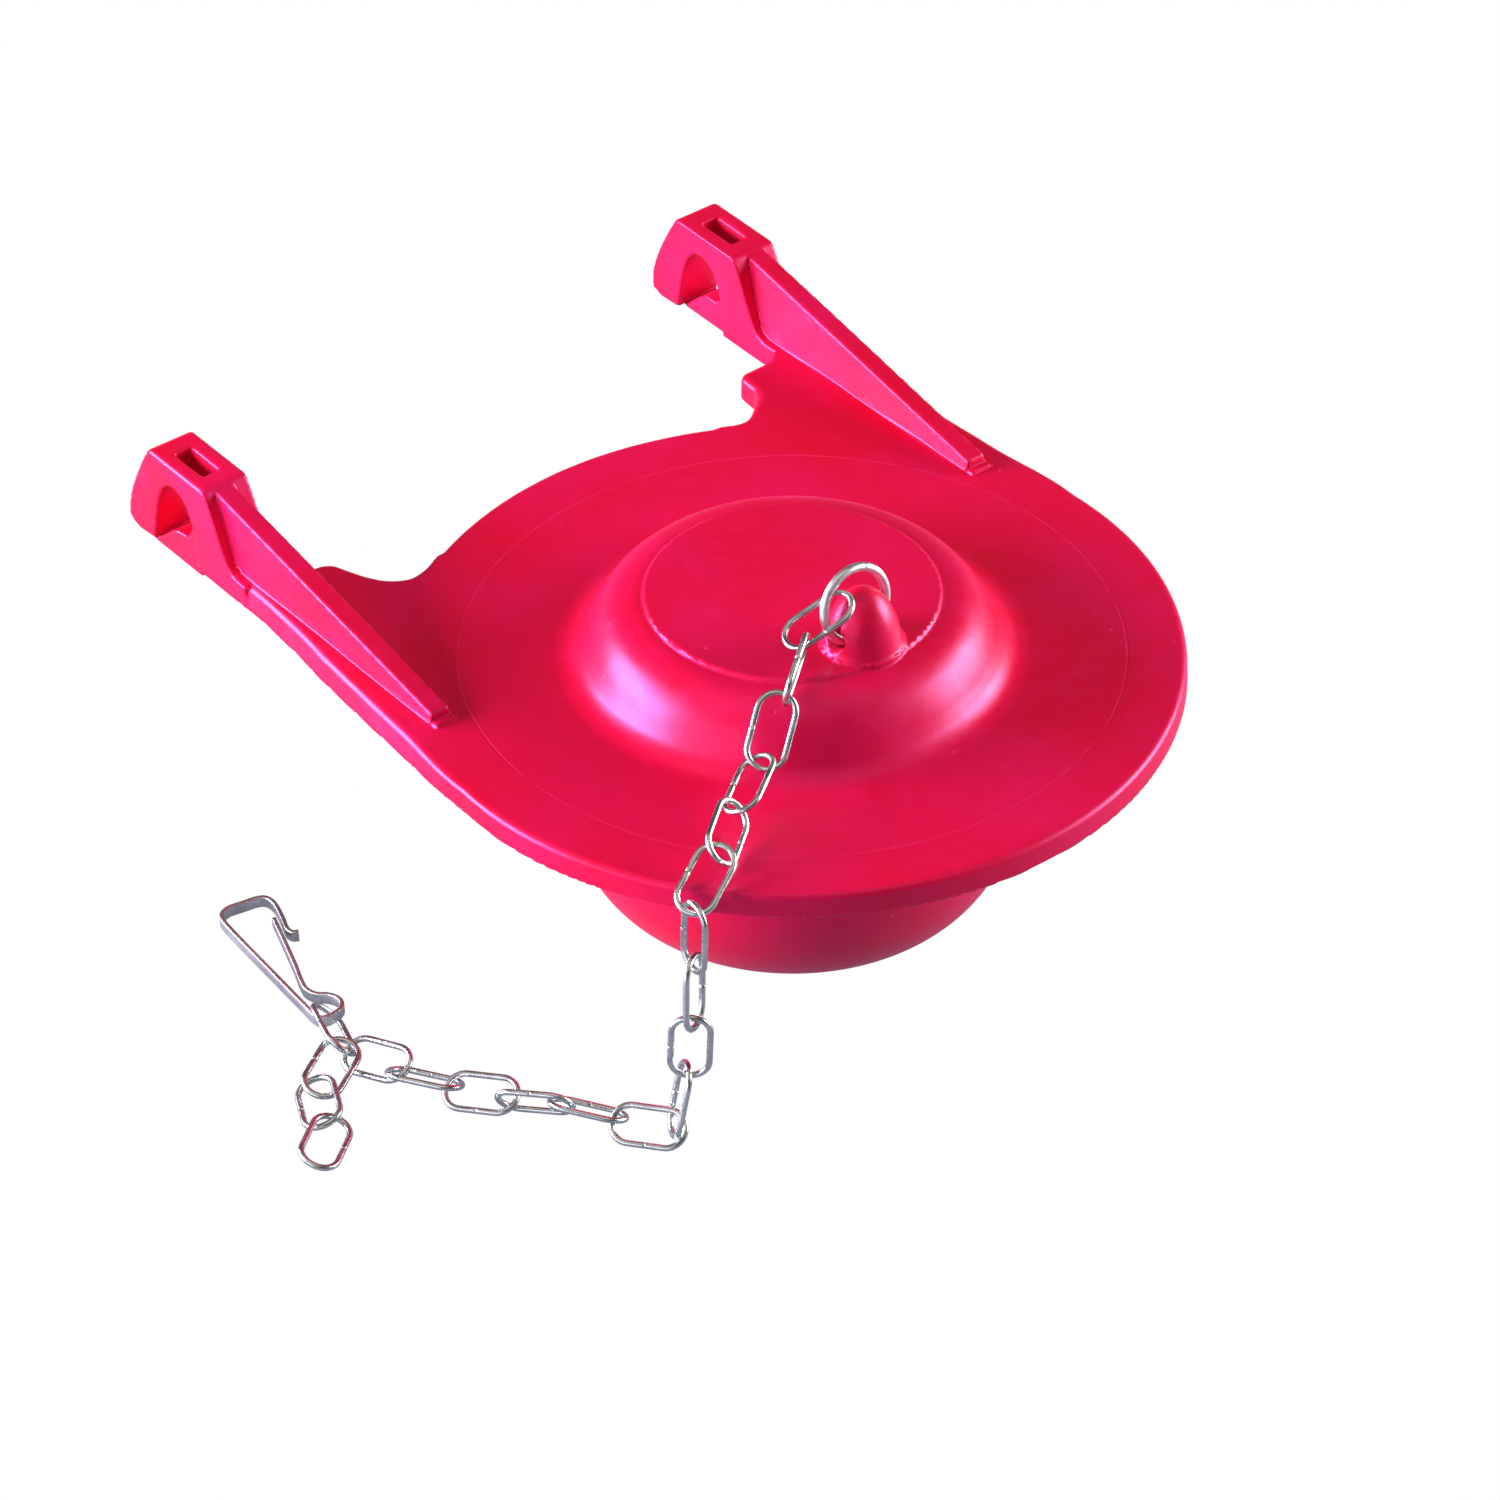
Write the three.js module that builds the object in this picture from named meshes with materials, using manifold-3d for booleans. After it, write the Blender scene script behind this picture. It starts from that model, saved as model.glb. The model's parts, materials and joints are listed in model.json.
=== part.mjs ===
// Toilet flapper: one rubber moulding (disc, plateau, bulb, two arms with
// ears), with a wire ring through its post, a chain of oval links and a
// bent spring clip. Millimetres, +Z up. The origin is on the axis of the
// disc and the bulb, at the level of the bulb's flat end, which is what
// the part stands on. The ears lie towards +Y.
import * as THREE from 'three';
import { mergeVertices } from 'three/addons/utils/BufferGeometryUtils.js';
import { ConvexGeometry } from 'three/addons/geometries/ConvexGeometry.js';
import Module from 'manifold-3d';

// ---------------------------------------------------------------- dimensions
const DISC_R = 42.4;          // edge of the sealing disc
const DISC_TOP = 31.1;        // height of the disc's upper face
const DISC_T = 2.96;          // disc and arm thickness
const EDGE_ROUND = 0.7;       // rounding of the disc's upper edge
const PAD_R = 15.9;           // raised round pad on the plateau
const PAD_TOP = 38.9;
const BULB_R = 25.2;          // outer radius of the bulb under the disc
const BULB_FLAT_R = 11.8;     // flat ring at the bulb's end
const BULB_CURVE_Z = 16.4;    // where the bulb's curve meets its straight side
const WALL = 2.5;             // rubber wall of bulb and plateau
const MOUTH_R = 7.0;          // round mouth in the bulb's end
const POST_Y = -11.9;         // post on the pad
const POST_H = 6.9;
const POST_HOLE_R = 1.3;
const POST_HOLE_Z = 40.9;
const EAR_IN = 33.6;          // inner and outer faces of each ear, from the middle
const EAR_OUT = 39.5;
const TONGUE_IN = 35.0;
const TONGUE_OUT = 38.1;
const EAR_HOLE_IN = 35.1;     // square blind hole in an ear's top
const EAR_HOLE_OUT = 37.75;
const EAR_HOLE_Y0 = 55.7;
const EAR_HOLE_Y1 = 61.5;
const EAR_HOLE_Z = 37.15;     // its floor, a thin web over the slot's arch
const RING_R = 4.1;           // centre line of the ring's wire
const RING_WIRE = 1.0;
const RING_C = [-0.45, -11.19, 43.65];
const RING_LEAN = 10;         // degrees, the ring's top towards +Y
const RING_PIVOT = [-11.85, 40.5]; // the line it swings about, along X
const LINK_L = 8.9;           // outer length, outer width and wire of a link
const LINK_W = 4.8;
const LINK_WIRE = 0.72;
const CLIP_T = 0.5;           // strip thickness and height
const CLIP_H = 1.35;
const CLIP_TILT = 2.8;        // degrees, the loop end lifted by the link in it

const RUBBER = { color: 0xd4123f, roughness: 0.5, metalness: 0.0 };
const STEEL = { color: 0xb9bcbe, roughness: 0.3, metalness: 1.0 };

// ------------------------------------------------------------------- helpers
const wasm = await Module();
wasm.setup();

function toSolid(geometry) {
  let g = geometry.index ? geometry.clone() : geometry;
  for (const a of Object.keys(g.attributes)) if (a !== 'position') g.deleteAttribute(a);
  g = mergeVertices(g, 1e-4);
  const p = g.attributes.position.array, t = g.index.array;
  const keep = [];
  for (let i = 0; i < t.length; i += 3) {
    if (t[i] !== t[i + 1] && t[i + 1] !== t[i + 2] && t[i] !== t[i + 2]) keep.push(t[i], t[i + 1], t[i + 2]);
  }
  return new wasm.Manifold(new wasm.Mesh({
    numProp: 3, vertProperties: new Float32Array(p), triVerts: new Uint32Array(keep),
  }));
}

function toGeometry(solid) {
  const m = solid.getMesh();
  const g = new THREE.BufferGeometry();
  g.setAttribute('position', new THREE.BufferAttribute(new Float32Array(m.vertProperties), 3));
  g.setIndex(Array.from(m.triVerts));
  g.computeVertexNormals();
  return g;
}

// Body of revolution about Z. The profile is [radius, z] pairs, counter-
// clockwise with radius to the right, and starts and ends on the axis or closes.
function lathe(profile, segments) {
  const pts = profile.map(([r, z]) => new THREE.Vector2(r, z));
  return new THREE.LatheGeometry(pts, segments).rotateX(Math.PI / 2);
}

// Closed body through outlines of equal point count, one [z, points] each.
function loft(rings) {
  const n = rings[0][1].length, pos = [], idx = [];
  for (const [z, pts] of rings) for (const [x, y] of pts) pos.push(x, y, z);
  for (let k = 0; k + 1 < rings.length; k++) {
    for (let i = 0; i < n; i++) {
      const j = (i + 1) % n, a = k * n + i, b = k * n + j, c = a + n, d = b + n;
      idx.push(a, b, d, a, d, c);
    }
  }
  const caps = THREE.ShapeUtils.triangulateShape(rings[0][1].map(([x, y]) => new THREE.Vector2(x, y)), []);
  const last = (rings.length - 1) * n;
  for (const [a, b, c] of caps) { idx.push(a, c, b); idx.push(last + a, last + b, last + c); }
  const g = new THREE.BufferGeometry();
  g.setAttribute('position', new THREE.Float32BufferAttribute(pos, 3));
  g.setIndex(idx);
  return g;
}

// A profile in the YZ plane, [y, z] pairs counter-clockwise seen from +X,
// carried along X from x0 to x1.
function alongX(profile, x0, x1) {
  const shape = new THREE.Shape(profile.map(([y, z]) => new THREE.Vector2(y, z)));
  const g = new THREE.ExtrudeGeometry(shape, { depth: x1 - x0, bevelEnabled: false });
  const m = new THREE.Matrix4().makeBasis(
    new THREE.Vector3(0, 1, 0), new THREE.Vector3(0, 0, 1), new THREE.Vector3(1, 0, 0));
  g.applyMatrix4(m);
  return g.translate(x0, 0, 0);
}

function box(x0, x1, y0, y1, z0, z1) {
  return new THREE.BoxGeometry(x1 - x0, y1 - y0, z1 - z0)
    .translate((x0 + x1) / 2, (y0 + y1) / 2, (z0 + z1) / 2);
}

function hull(points) {
  return new ConvexGeometry(points.map(([x, y, z]) => new THREE.Vector3(x, y, z)));
}

// ------------------------------------------------------------------- flapper
const Z0 = DISC_TOP - DISC_T;

function discSolid() {
  const inner = BULB_R - 1.4;
  const p = [[inner, Z0], [DISC_R, Z0], [DISC_R, DISC_TOP - EDGE_ROUND]];
  for (let i = 1; i <= 3; i++) {
    const a = (i / 3) * Math.PI / 2;
    p.push([DISC_R - EDGE_ROUND + EDGE_ROUND * Math.cos(a), DISC_TOP - EDGE_ROUND + EDGE_ROUND * Math.sin(a)]);
  }
  p.push([inner, DISC_TOP], [inner, Z0]);
  return toSolid(lathe(p, 72));
}

// Bulb and plateau, one shell that is open at the bulb's end.
function shellSolid() {
  const out = [[0, PAD_TOP], [PAD_R, PAD_TOP], [PAD_R + 0.25, 38.45], [18.0, 38.15], [19.7, 37.3], [20.9, 35.9],
    [21.8, 33.9], [22.4, 32.4], [23.6, 31.35], [24.6, DISC_TOP], [BULB_R, DISC_TOP - 1.2], [BULB_R, BULB_CURVE_Z]];
  const curve = (r0, r1, z0, z1, n) => {
    const c = new THREE.QuadraticBezierCurve(new THREE.Vector2(r1, z1), new THREE.Vector2(r1, z0), new THREE.Vector2(r0, z0));
    return c.getPoints(n).slice(1).map((v) => [v.x, v.y]);
  };
  out.push(...curve(BULB_FLAT_R, BULB_R, 0, BULB_CURVE_Z, 6));
  out.push([MOUTH_R, 0], [MOUTH_R, WALL]);
  const inn = [[BULB_FLAT_R - 0.8, WALL]];
  inn.push(...curve(BULB_FLAT_R - 0.8, BULB_R - WALL, WALL, BULB_CURVE_Z, 5).reverse().slice(1));
  inn.push([BULB_R - WALL, BULB_CURVE_Z], [BULB_R - WALL, 28.6], [21.0, 31.4], [19.4, 34.4], [16.6, 36.2],
    [13.0, PAD_TOP - WALL], [0, PAD_TOP - WALL]);
  return toSolid(lathe([...out, ...inn].reverse(), 72));
}

// One arm in plan, from inside the disc to the ear's heel. `side` is +1 or -1.
function armSolid(side, tab) {
  const outer = [[40.6, 1.0], [42.3, 5.0], [41.87, 13.4], [41.66, 17.6], [41.29, 21.8], [40.95, 26.0], [40.66, 30.7],
    [40.07, 34.9], [39.52, 42.0], [39.52, 55.9]];
  const inner = [[33.3, 55.9], [33.2, 45.4], ...tab, [18.5, 32.5], [27.0, 10.0]];
  const ring = (dOut, dIn) => {
    const o = outer.map(([x, y], i) => [x - (i === 0 ? 0 : dOut * Math.min(1, Math.max(0.4, (y - 5) / 10))), y]);
    const q = inner.map(([x, y], i) => [x + (i < 2 ? dIn : 0), y]);
    const pts = [...o, ...q].map(([x, y]) => [side * x, y]);
    return side > 0 ? pts : pts.reverse();
  };
  return toSolid(loft([[Z0, ring(0, 0)], [DISC_TOP - 0.9, ring(0.55, 0.15)], [DISC_TOP - 0.25, ring(0.95, 0.3)], [DISC_TOP, ring(1.3, 0.5)]]));
}

const TAB_RIGHT = [[30.6, 44.4], [27.7, 44.3], [27.2, 43.6], [27.1, 41.0], [26.4, 39.7], [24.8, 38.3], [23.1, 36.9], [21.4, 36.4], [19.6, 36.8]];
const TAB_LEFT = [[30.7, 44.4], [29.4, 43.5], [28.7, 41.6], [27.6, 39.3], [26.3, 37.4], [24.4, 36.3], [21.5, 36.5], [19.6, 37.2]];

// Side view of an ear with its slot, [y, z].
const EAR = [[47.2, 28.14], [55.9, 27.9], [56.0, 29.1], [56.36, 32.95], [56.87, 34.6], [57.5, 35.8], [58.8, 36.65], [60.4, 36.72],
  [61.6, 35.85], [62.3, 34.8], [62.85, 33.2], [63.7, 30.2], [64.25, 27.7], [66.7, 27.4], [68.55, 28.05], [68.5, 28.9], [68.35, 30.3],
  [67.4, 33.1], [65.5, 36.85], [63.9, 39.45], [63.4, 39.7], [53.7, 39.7], [53.1, 39.5], [52.1, 37.8], [50.45, 34.2], [48.4, 31.6], [47.2, 31.0]];
const TONGUE = [[56.0, 27.4], [63.75, 27.35], [59.9, 30.85], [58.1, 31.15], [56.2, 32.6]];

function earSolid(side) {
  const x = (a, b) => (side > 0 ? [a, b] : [-b, -a]);
  let s = toSolid(alongX(EAR, ...x(EAR_IN, EAR_OUT)));
  s = s.subtract(toSolid(box(...x(EAR_HOLE_IN, EAR_HOLE_OUT), EAR_HOLE_Y0, EAR_HOLE_Y1, EAR_HOLE_Z, 41)));
  return s.add(toSolid(alongX(TONGUE, ...x(TONGUE_IN, TONGUE_OUT))));
}

function ribSolid(side) {
  const s = side;
  const rib = toSolid(hull([
    [s * 38.3, 13.4, 30.6], [s * 35.2, 13.4, 30.6], [s * 38.05, 13.5, 32.4], [s * 35.7, 13.5, 32.4],
    [s * 38.4, 54.2, 30.6], [s * 34.3, 54.2, 30.6], [s * 38.05, 54.2, 39.6], [s * 35.7, 54.2, 39.6]]));
  const toe = toSolid(hull([
    [s * 38.2, 12.4, 30.6], [s * 35.4, 12.4, 30.6], [s * 38.0, 12.6, 31.5], [s * 35.8, 12.6, 31.5],
    [s * 38.2, 14.4, 30.6], [s * 35.4, 14.4, 30.6], [s * 38.0, 14.4, 31.5], [s * 35.8, 14.4, 31.5]]));
  return rib.add(toe);
}

function ringMatrix() {
  // Torus axis (its Z) turned to lie along Y, then leaned about X.
  return new THREE.Matrix4().makeTranslation(...RING_C)
    .multiply(new THREE.Matrix4().makeRotationX(THREE.MathUtils.degToRad(90 - RING_LEAN)));
}

function postSolid() {
  const p = [[0, PAD_TOP - 0.6], [5.0, PAD_TOP - 0.6], [5.0, PAD_TOP], [4.45, PAD_TOP + 0.3], [4.15, PAD_TOP + 0.8], [3.98, PAD_TOP + 1.6],
    [3.78, PAD_TOP + 2.5], [3.5, PAD_TOP + 3.4], [3.12, PAD_TOP + 4.3], [2.58, PAD_TOP + 5.2], [1.9, PAD_TOP + 6.0], [1.15, PAD_TOP + 6.55],
    [0.5, PAD_TOP + POST_H - 0.05], [0, PAD_TOP + POST_H]];
  return toSolid(lathe(p, 28).translate(0, POST_Y, 0));
}

function postHole() {
  // Straight hole, opened out where the ring's wire curves and swings in it.
  let cut = toSolid(new THREE.CylinderGeometry(POST_HOLE_R, POST_HOLE_R, 12, 16)
    .rotateZ(Math.PI / 2).translate(0, POST_Y, POST_HOLE_Z));
  for (const a of [0, -8, -16, -24]) {
    const swing = new THREE.Matrix4().makeTranslation(0, RING_PIVOT[0], RING_PIVOT[1])
      .multiply(new THREE.Matrix4().makeRotationX(THREE.MathUtils.degToRad(a)))
      .multiply(new THREE.Matrix4().makeTranslation(0, -RING_PIVOT[0], -RING_PIVOT[1]));
    cut = cut.add(toSolid(new THREE.TorusGeometry(RING_R, 0.68, 8, 36).scale(1, 1, 1.4).applyMatrix4(swing.multiply(ringMatrix()))));
  }
  return cut;
}

function flapperSolid() {
  let s = shellSolid().add(discSolid());
  for (const side of [1, -1]) {
    s = s.add(armSolid(side, side > 0 ? TAB_RIGHT : TAB_LEFT)).add(ribSolid(side)).add(earSolid(side));
  }
  return s.add(postSolid()).subtract(postHole());
}

// --------------------------------------------------------------------- links
// Stadium-shaped loop of round wire, in its own XY plane, long axis along X.
function linkGeometry() {
  const r = (LINK_W - LINK_WIRE) / 2, h = (LINK_L - LINK_W) / 2, n = 7, sides = 8, w = LINK_WIRE / 2;
  const path = [];
  for (let i = 0; i <= n; i++) {
    const a = -Math.PI / 2 + (i / n) * Math.PI;
    path.push([h + r * Math.cos(a), r * Math.sin(a), Math.cos(a), Math.sin(a)]);
  }
  for (let i = 0; i <= n; i++) {
    const a = Math.PI / 2 + (i / n) * Math.PI;
    path.push([-h + r * Math.cos(a), r * Math.sin(a), Math.cos(a), Math.sin(a)]);
  }
  const pos = [], idx = [], m = path.length;
  for (const [x, y, nx, ny] of path) {
    for (let k = 0; k < sides; k++) {
      const b = ((k + 0.5) / sides) * 2 * Math.PI;
      pos.push(x + nx * w * Math.cos(b), y + ny * w * Math.cos(b), w * Math.sin(b));
    }
  }
  for (let i = 0; i < m; i++) {
    for (let k = 0; k < sides; k++) {
      const a = i * sides + k, b = i * sides + (k + 1) % sides;
      const c = ((i + 1) % m) * sides + k, d = ((i + 1) % m) * sides + (k + 1) % sides;
      idx.push(a, d, b, a, c, d);
    }
  }
  const g = new THREE.BufferGeometry();
  g.setAttribute('position', new THREE.Float32BufferAttribute(pos, 3));
  g.setIndex(idx);
  g.computeVertexNormals();
  return g;
}

// Each link's centre, the direction of its length and its plane's normal.
const LINKS = [
  [[-5.62, -11.47, 44.05], [-0.802, 0.317, -0.506], [0.517, -0.054, -0.854]],
  [[-10.36, -13.66, 41.17], [-0.778, -0.529, -0.338], [-0.605, 0.776, 0.178]],
  [[-15.58, -16.12, 37.05], [-0.609, -0.352, -0.711], [-0.383, -0.655, 0.652]],
  [[-20.73, -18.86, 34.28], [-0.83, -0.526, -0.186], [-0.371, 0.271, 0.888]],
  [[-26.77, -22.87, 33.36], [-0.79, -0.603, -0.109], [0.404, -0.647, 0.646]],
  [[-32.15, -26.1, 31.86], [-0.834, -0.346, -0.43], [-0.342, -0.287, 0.895]],
  [[-35.13, -27.95, 26.88], [-0.043, 0.001, -0.999], [-0.993, 0.11, 0.043]],
  [[-35.28, -27.98, 19.67], [-0.161, -0.18, -0.971], [0.481, -0.873, 0.082]],
  [[-35.82, -27.88, 12.55], [0.005, 0.075, -0.997], [-0.637, -0.769, -0.061]],
  [[-36.79, -27.17, 5.44], [-0.31, -0.082, -0.947], [-0.861, 0.446, 0.244]],
  [[-39.56, -25.32, 1.91], [-0.555, 0.827, -0.088], [-0.58, -0.308, 0.754]],
  [[-42.78, -19.08, 1.78], [-0.629, 0.768, 0.12], [0.41, 0.196, 0.891]],
  [[-46.85, -15.28, 2.46], [-0.591, 0.799, -0.111], [-0.697, -0.575, -0.429]],
  [[-49.84, -9.78, 1.63], [-0.535, 0.835, -0.13], [-0.449, -0.15, 0.881]],
  [[-53.1, -4.15, 1.63], [-0.529, 0.849, -0.016], [0.381, 0.254, 0.889]],
  [[-55.27, 1.49, 1.71], [-0.327, 0.931, -0.164], [-0.473, -0.011, 0.881]],
  [[-56.05, 8.21, 1.87], [0.312, 0.949, -0.043], [0.673, -0.189, 0.715]],
  [[-59.86, 3.37, 1.74], [-0.863, -0.489, -0.123], [-0.008, -0.231, 0.973]],
  [[-63.88, 0.02, 1.34], [-0.438, -0.897, 0.066], [-0.271, 0.201, 0.941]],
  [[-67.11, -5.77, 1.53], [-0.787, -0.615, 0.044], [0.234, -0.231, 0.945]],
];

// ---------------------------------------------------------------------- clip
// Centre line of the bent strip in plan, from the gate's free end round the
// loop, up the long leg, over the end and down the short leg.
const CLIP_PATH = [[-49.75, 28.3], [-50.75, 25.5], [-51.8, 22.65], [-52.85, 19.8], [-53.9, 17.2], [-54.35, 15.6], [-54.05, 14.3],
  [-53.2, 13.4], [-52.75, 12.5], [-52.7, 11.6], [-53.05, 10.85], [-53.7, 10.4], [-54.6, 10.2], [-55.5, 10.2], [-56.15, 10.55],
  [-56.3, 11.3], [-56.1, 13.5], [-55.5, 19.5], [-54.25, 31.2], [-54.0, 32.2], [-53.4, 32.9], [-52.5, 33.2], [-50.6, 32.9],
  [-48.9, 32.55], [-48.3, 32.1], [-48.1, 31.4], [-48.2, 30.2], [-49.0, 27.7], [-49.75, 25.6], [-49.6, 24.9], [-49.1, 24.6]];

function clipGeometry() {
  const n = CLIP_PATH.length, left = [], right = [];
  for (let i = 0; i < n; i++) {
    const p = CLIP_PATH[i], a = CLIP_PATH[Math.max(0, i - 1)], b = CLIP_PATH[Math.min(n - 1, i + 1)];
    const d1 = new THREE.Vector2(p[0] - a[0], p[1] - a[1]), d2 = new THREE.Vector2(b[0] - p[0], b[1] - p[1]);
    if (i === 0) d1.copy(d2);
    if (i === n - 1) d2.copy(d1);
    d1.normalize(); d2.normalize();
    const t = d1.clone().add(d2).normalize();
    const w = CLIP_T / 2 / Math.max(0.6, t.dot(d1));
    left.push(new THREE.Vector2(p[0] - t.y * w, p[1] + t.x * w));
    right.push(new THREE.Vector2(p[0] + t.y * w, p[1] - t.x * w));
  }
  const shape = new THREE.Shape([...right, ...left.reverse()]);
  return new THREE.ExtrudeGeometry(shape, { depth: CLIP_H, bevelEnabled: false, curveSegments: 1 });
}

// --------------------------------------------------------------------- build
const group = new THREE.Group();

function add(name, geometry, look, matrix) {
  const mesh = new THREE.Mesh(geometry, new THREE.MeshStandardMaterial(look));
  mesh.name = name;
  if (matrix) matrix.decompose(mesh.position, mesh.quaternion, mesh.scale);
  group.add(mesh);
  return mesh;
}

add('flapper', toGeometry(flapperSolid()), RUBBER);
add('chain_ring', new THREE.TorusGeometry(RING_R, RING_WIRE / 2, 8, 32), STEEL, ringMatrix());

const link = linkGeometry();
LINKS.forEach(([c, u, n], i) => {
  const X = new THREE.Vector3(...u).normalize();
  const Z = new THREE.Vector3(...n);
  Z.addScaledVector(X, -Z.dot(X)).normalize();
  const Y = new THREE.Vector3().crossVectors(Z, X);
  const m = new THREE.Matrix4().makeBasis(X, Y, Z).setPosition(...c);
  add(`chain_link_${String(i + 1).padStart(2, '0')}`, link.clone(), STEEL, m);
});

{
  // Tilted about the line of its far end, so that its loop end is lifted.
  const y0 = 33.4, m = new THREE.Matrix4().makeTranslation(-0.25, y0 - 0.35, 0.02)
    .multiply(new THREE.Matrix4().makeRotationX(-THREE.MathUtils.degToRad(CLIP_TILT)))
    .multiply(new THREE.Matrix4().makeTranslation(0, -y0, 0));
  add('chain_clip', clipGeometry(), STEEL, m);
}

export default group;
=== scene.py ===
import json
import math

import bpy
import numpy as np
from mathutils import Matrix, Vector

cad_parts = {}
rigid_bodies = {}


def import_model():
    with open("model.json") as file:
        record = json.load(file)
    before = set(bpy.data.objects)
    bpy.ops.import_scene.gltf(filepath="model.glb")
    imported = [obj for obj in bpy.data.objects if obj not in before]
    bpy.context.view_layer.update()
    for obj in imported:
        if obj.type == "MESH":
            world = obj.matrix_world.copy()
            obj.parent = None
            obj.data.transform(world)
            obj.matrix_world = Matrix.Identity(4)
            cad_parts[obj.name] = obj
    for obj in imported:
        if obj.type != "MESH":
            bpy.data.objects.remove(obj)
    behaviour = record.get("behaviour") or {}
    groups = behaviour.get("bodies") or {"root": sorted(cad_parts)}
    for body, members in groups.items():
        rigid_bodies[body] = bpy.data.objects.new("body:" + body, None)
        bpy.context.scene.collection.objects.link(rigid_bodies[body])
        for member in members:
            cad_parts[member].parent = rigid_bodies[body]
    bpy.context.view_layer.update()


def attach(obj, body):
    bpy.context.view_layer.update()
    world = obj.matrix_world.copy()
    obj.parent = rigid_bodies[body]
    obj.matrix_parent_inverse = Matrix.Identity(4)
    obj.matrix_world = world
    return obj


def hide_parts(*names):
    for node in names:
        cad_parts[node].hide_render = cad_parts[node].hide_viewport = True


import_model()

for o in list(bpy.data.objects):
    if o.name in ("Cube", "Light", "Camera"):
        bpy.data.objects.remove(o)

MM = 0.001
F = np.float32

# ------------------------------------------------------------------ outlines


def curve(points, step=0.2):
    """Points along a smooth curve that passes through the given ones."""
    p = np.asarray(points, float)
    k = np.sqrt(np.linalg.norm(np.diff(p, axis=0), axis=1)) + 1e-9
    t = np.concatenate([[0], np.cumsum(k)])
    m = np.zeros_like(p)
    s = np.diff(p, axis=0) / k[:, None]
    m[1:-1] = (s[:-1] * k[1:, None] + s[1:] * k[:-1, None]) / (k[1:] + k[:-1])[:, None]
    m[0], m[-1] = s[0], s[-1]
    out = [p[0]]
    for i in range(len(p) - 1):
        n = max(1, int(math.ceil(np.linalg.norm(p[i + 1] - p[i]) / step)))
        h = t[i + 1] - t[i]
        for j in range(1, n + 1):
            u = j / n
            a, b = 2 * u**3 - 3 * u**2 + 1, u**3 - 2 * u**2 + u
            c, d = -2 * u**3 + 3 * u**2, u**3 - u**2
            out.append(a * p[i] + b * h * m[i] + c * p[i + 1] + d * h * m[i + 1])
    return [tuple(v) for v in out]


def arc(cx, cy, r, a0, a1, n):
    return [(cx + r * math.cos(math.radians(a0 + (a1 - a0) * i / n)), cy + r * math.sin(math.radians(a0 + (a1 - a0) * i / n))) for i in range(n + 1)]


def bezier(a, b, c, n):
    return [tuple((1 - t) ** 2 * a[i] + 2 * t * (1 - t) * b[i] + t * t * c[i] for i in (0, 1)) for t in np.linspace(0, 1, n + 1)]


def outline_distance(p, q, points):
    """Signed distance to a closed outline, negative inside."""
    p, q = np.asarray(p, F), np.asarray(q, F)
    d, inside = np.full(p.shape, 1e9, F), np.zeros(p.shape, bool)
    pts = np.asarray(points, float)
    for (ax, ay), (bx, by) in zip(pts, np.roll(pts, 1, 0)):
        ex, ey = bx - ax, by - ay
        n = ex * ex + ey * ey
        if n < 1e-12:
            continue
        wx, wy = p - F(ax), q - F(ay)
        t = np.clip((wx * F(ex) + wy * F(ey)) * F(1 / n), 0, 1)
        dx, dy = wx - t * F(ex), wy - t * F(ey)
        np.minimum(d, dx * dx + dy * dy, out=d)
        if abs(ey) > 1e-9:
            inside ^= ((q >= ay) != (q >= by)) & (wx < wy * F(ex / ey))
    d = np.sqrt(d)
    return np.where(inside, -d, d)


class Table:
    """A plane distance field, read between its grid points."""

    def __init__(self, field, x0, x1, y0, y1, h):
        xs, ys = np.arange(x0, x1 + h, h), np.arange(y0, y1 + h, h)
        self.x0, self.y0, self.h, self.nx, self.ny = x0, y0, h, len(xs), len(ys)
        self.v = np.ascontiguousarray(field(*np.meshgrid(xs, ys, indexing="ij")), F).ravel()

    def __call__(self, x, y):
        u = np.clip((x - F(self.x0)) / F(self.h), 0, self.nx - 1.001)
        w = np.clip((y - F(self.y0)) / F(self.h), 0, self.ny - 1.001)
        i, j = u.astype(np.int32), w.astype(np.int32)
        u, w, k, v = u - i, w - j, i * self.ny + j, self.v
        a = v[k] * (1 - u) + v[k + self.ny] * u
        b = v[k + 1] * (1 - u) + v[k + self.ny + 1] * u
        return a * (1 - w) + b * w


def both(a, b, r):
    """Where two shapes overlap, with the edge between them rounded."""
    r = F(r)
    u, v = np.maximum(a + r, 0), np.maximum(b + r, 0)
    return np.minimum(np.maximum(a, b), -r) + np.sqrt(u * u + v * v)


def joined(a, b, r):
    """Two shapes together, with a fillet between them."""
    r = F(r)
    u, v = np.maximum(r - a, 0), np.maximum(r - b, 0)
    return np.maximum(np.minimum(a, b), r) - np.sqrt(u * u + v * v)


def ease(x, a, b):
    t = np.clip((x - a) / (b - a), 0, 1)
    return t * t * (3 - 2 * t)


# ------------------------------------------------------- the rubber moulding
DISC_R, DISC_TOP, DISC_BOTTOM, PAD_TOP = 42.4, 31.1, 28.14, 38.9
POST_Y, HOLE_Z, HOLE_R = -11.9, 40.9, 1.3
RING_R, RING_C, RING_LEAN, PIVOT = 4.1, (-0.45, -11.19, 43.65), 10.0, (-11.85, 40.5)

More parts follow.
